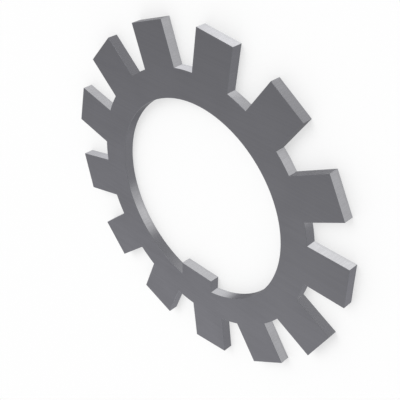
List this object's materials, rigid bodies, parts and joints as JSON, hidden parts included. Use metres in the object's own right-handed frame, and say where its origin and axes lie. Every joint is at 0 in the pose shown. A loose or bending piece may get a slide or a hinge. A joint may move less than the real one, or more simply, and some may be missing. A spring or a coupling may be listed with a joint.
{
  "type": "bearing lock washer",
  "caption": "Flat steel ring with straight outer tabs and one inner key. The key sits in a shaft's keyway and a tab is bent into a locknut's slot, so the nut can't turn.",
  "frame": {"origin": "the shaft's axis, in the plane of the bearing face that the washer lies on", "axes": "+Z along the shaft's axis towards the nut, -Y through the middle of the inner key, +X through the middle of one outer tab"},
  "size_m": [0.042, 0.0422, 0.0012],
  "materials": {
    "steel_strip": "satin"
  },
  "bodies": {
    "root": {"lock_washer": "steel_strip"}
  },
  "joints": []
}
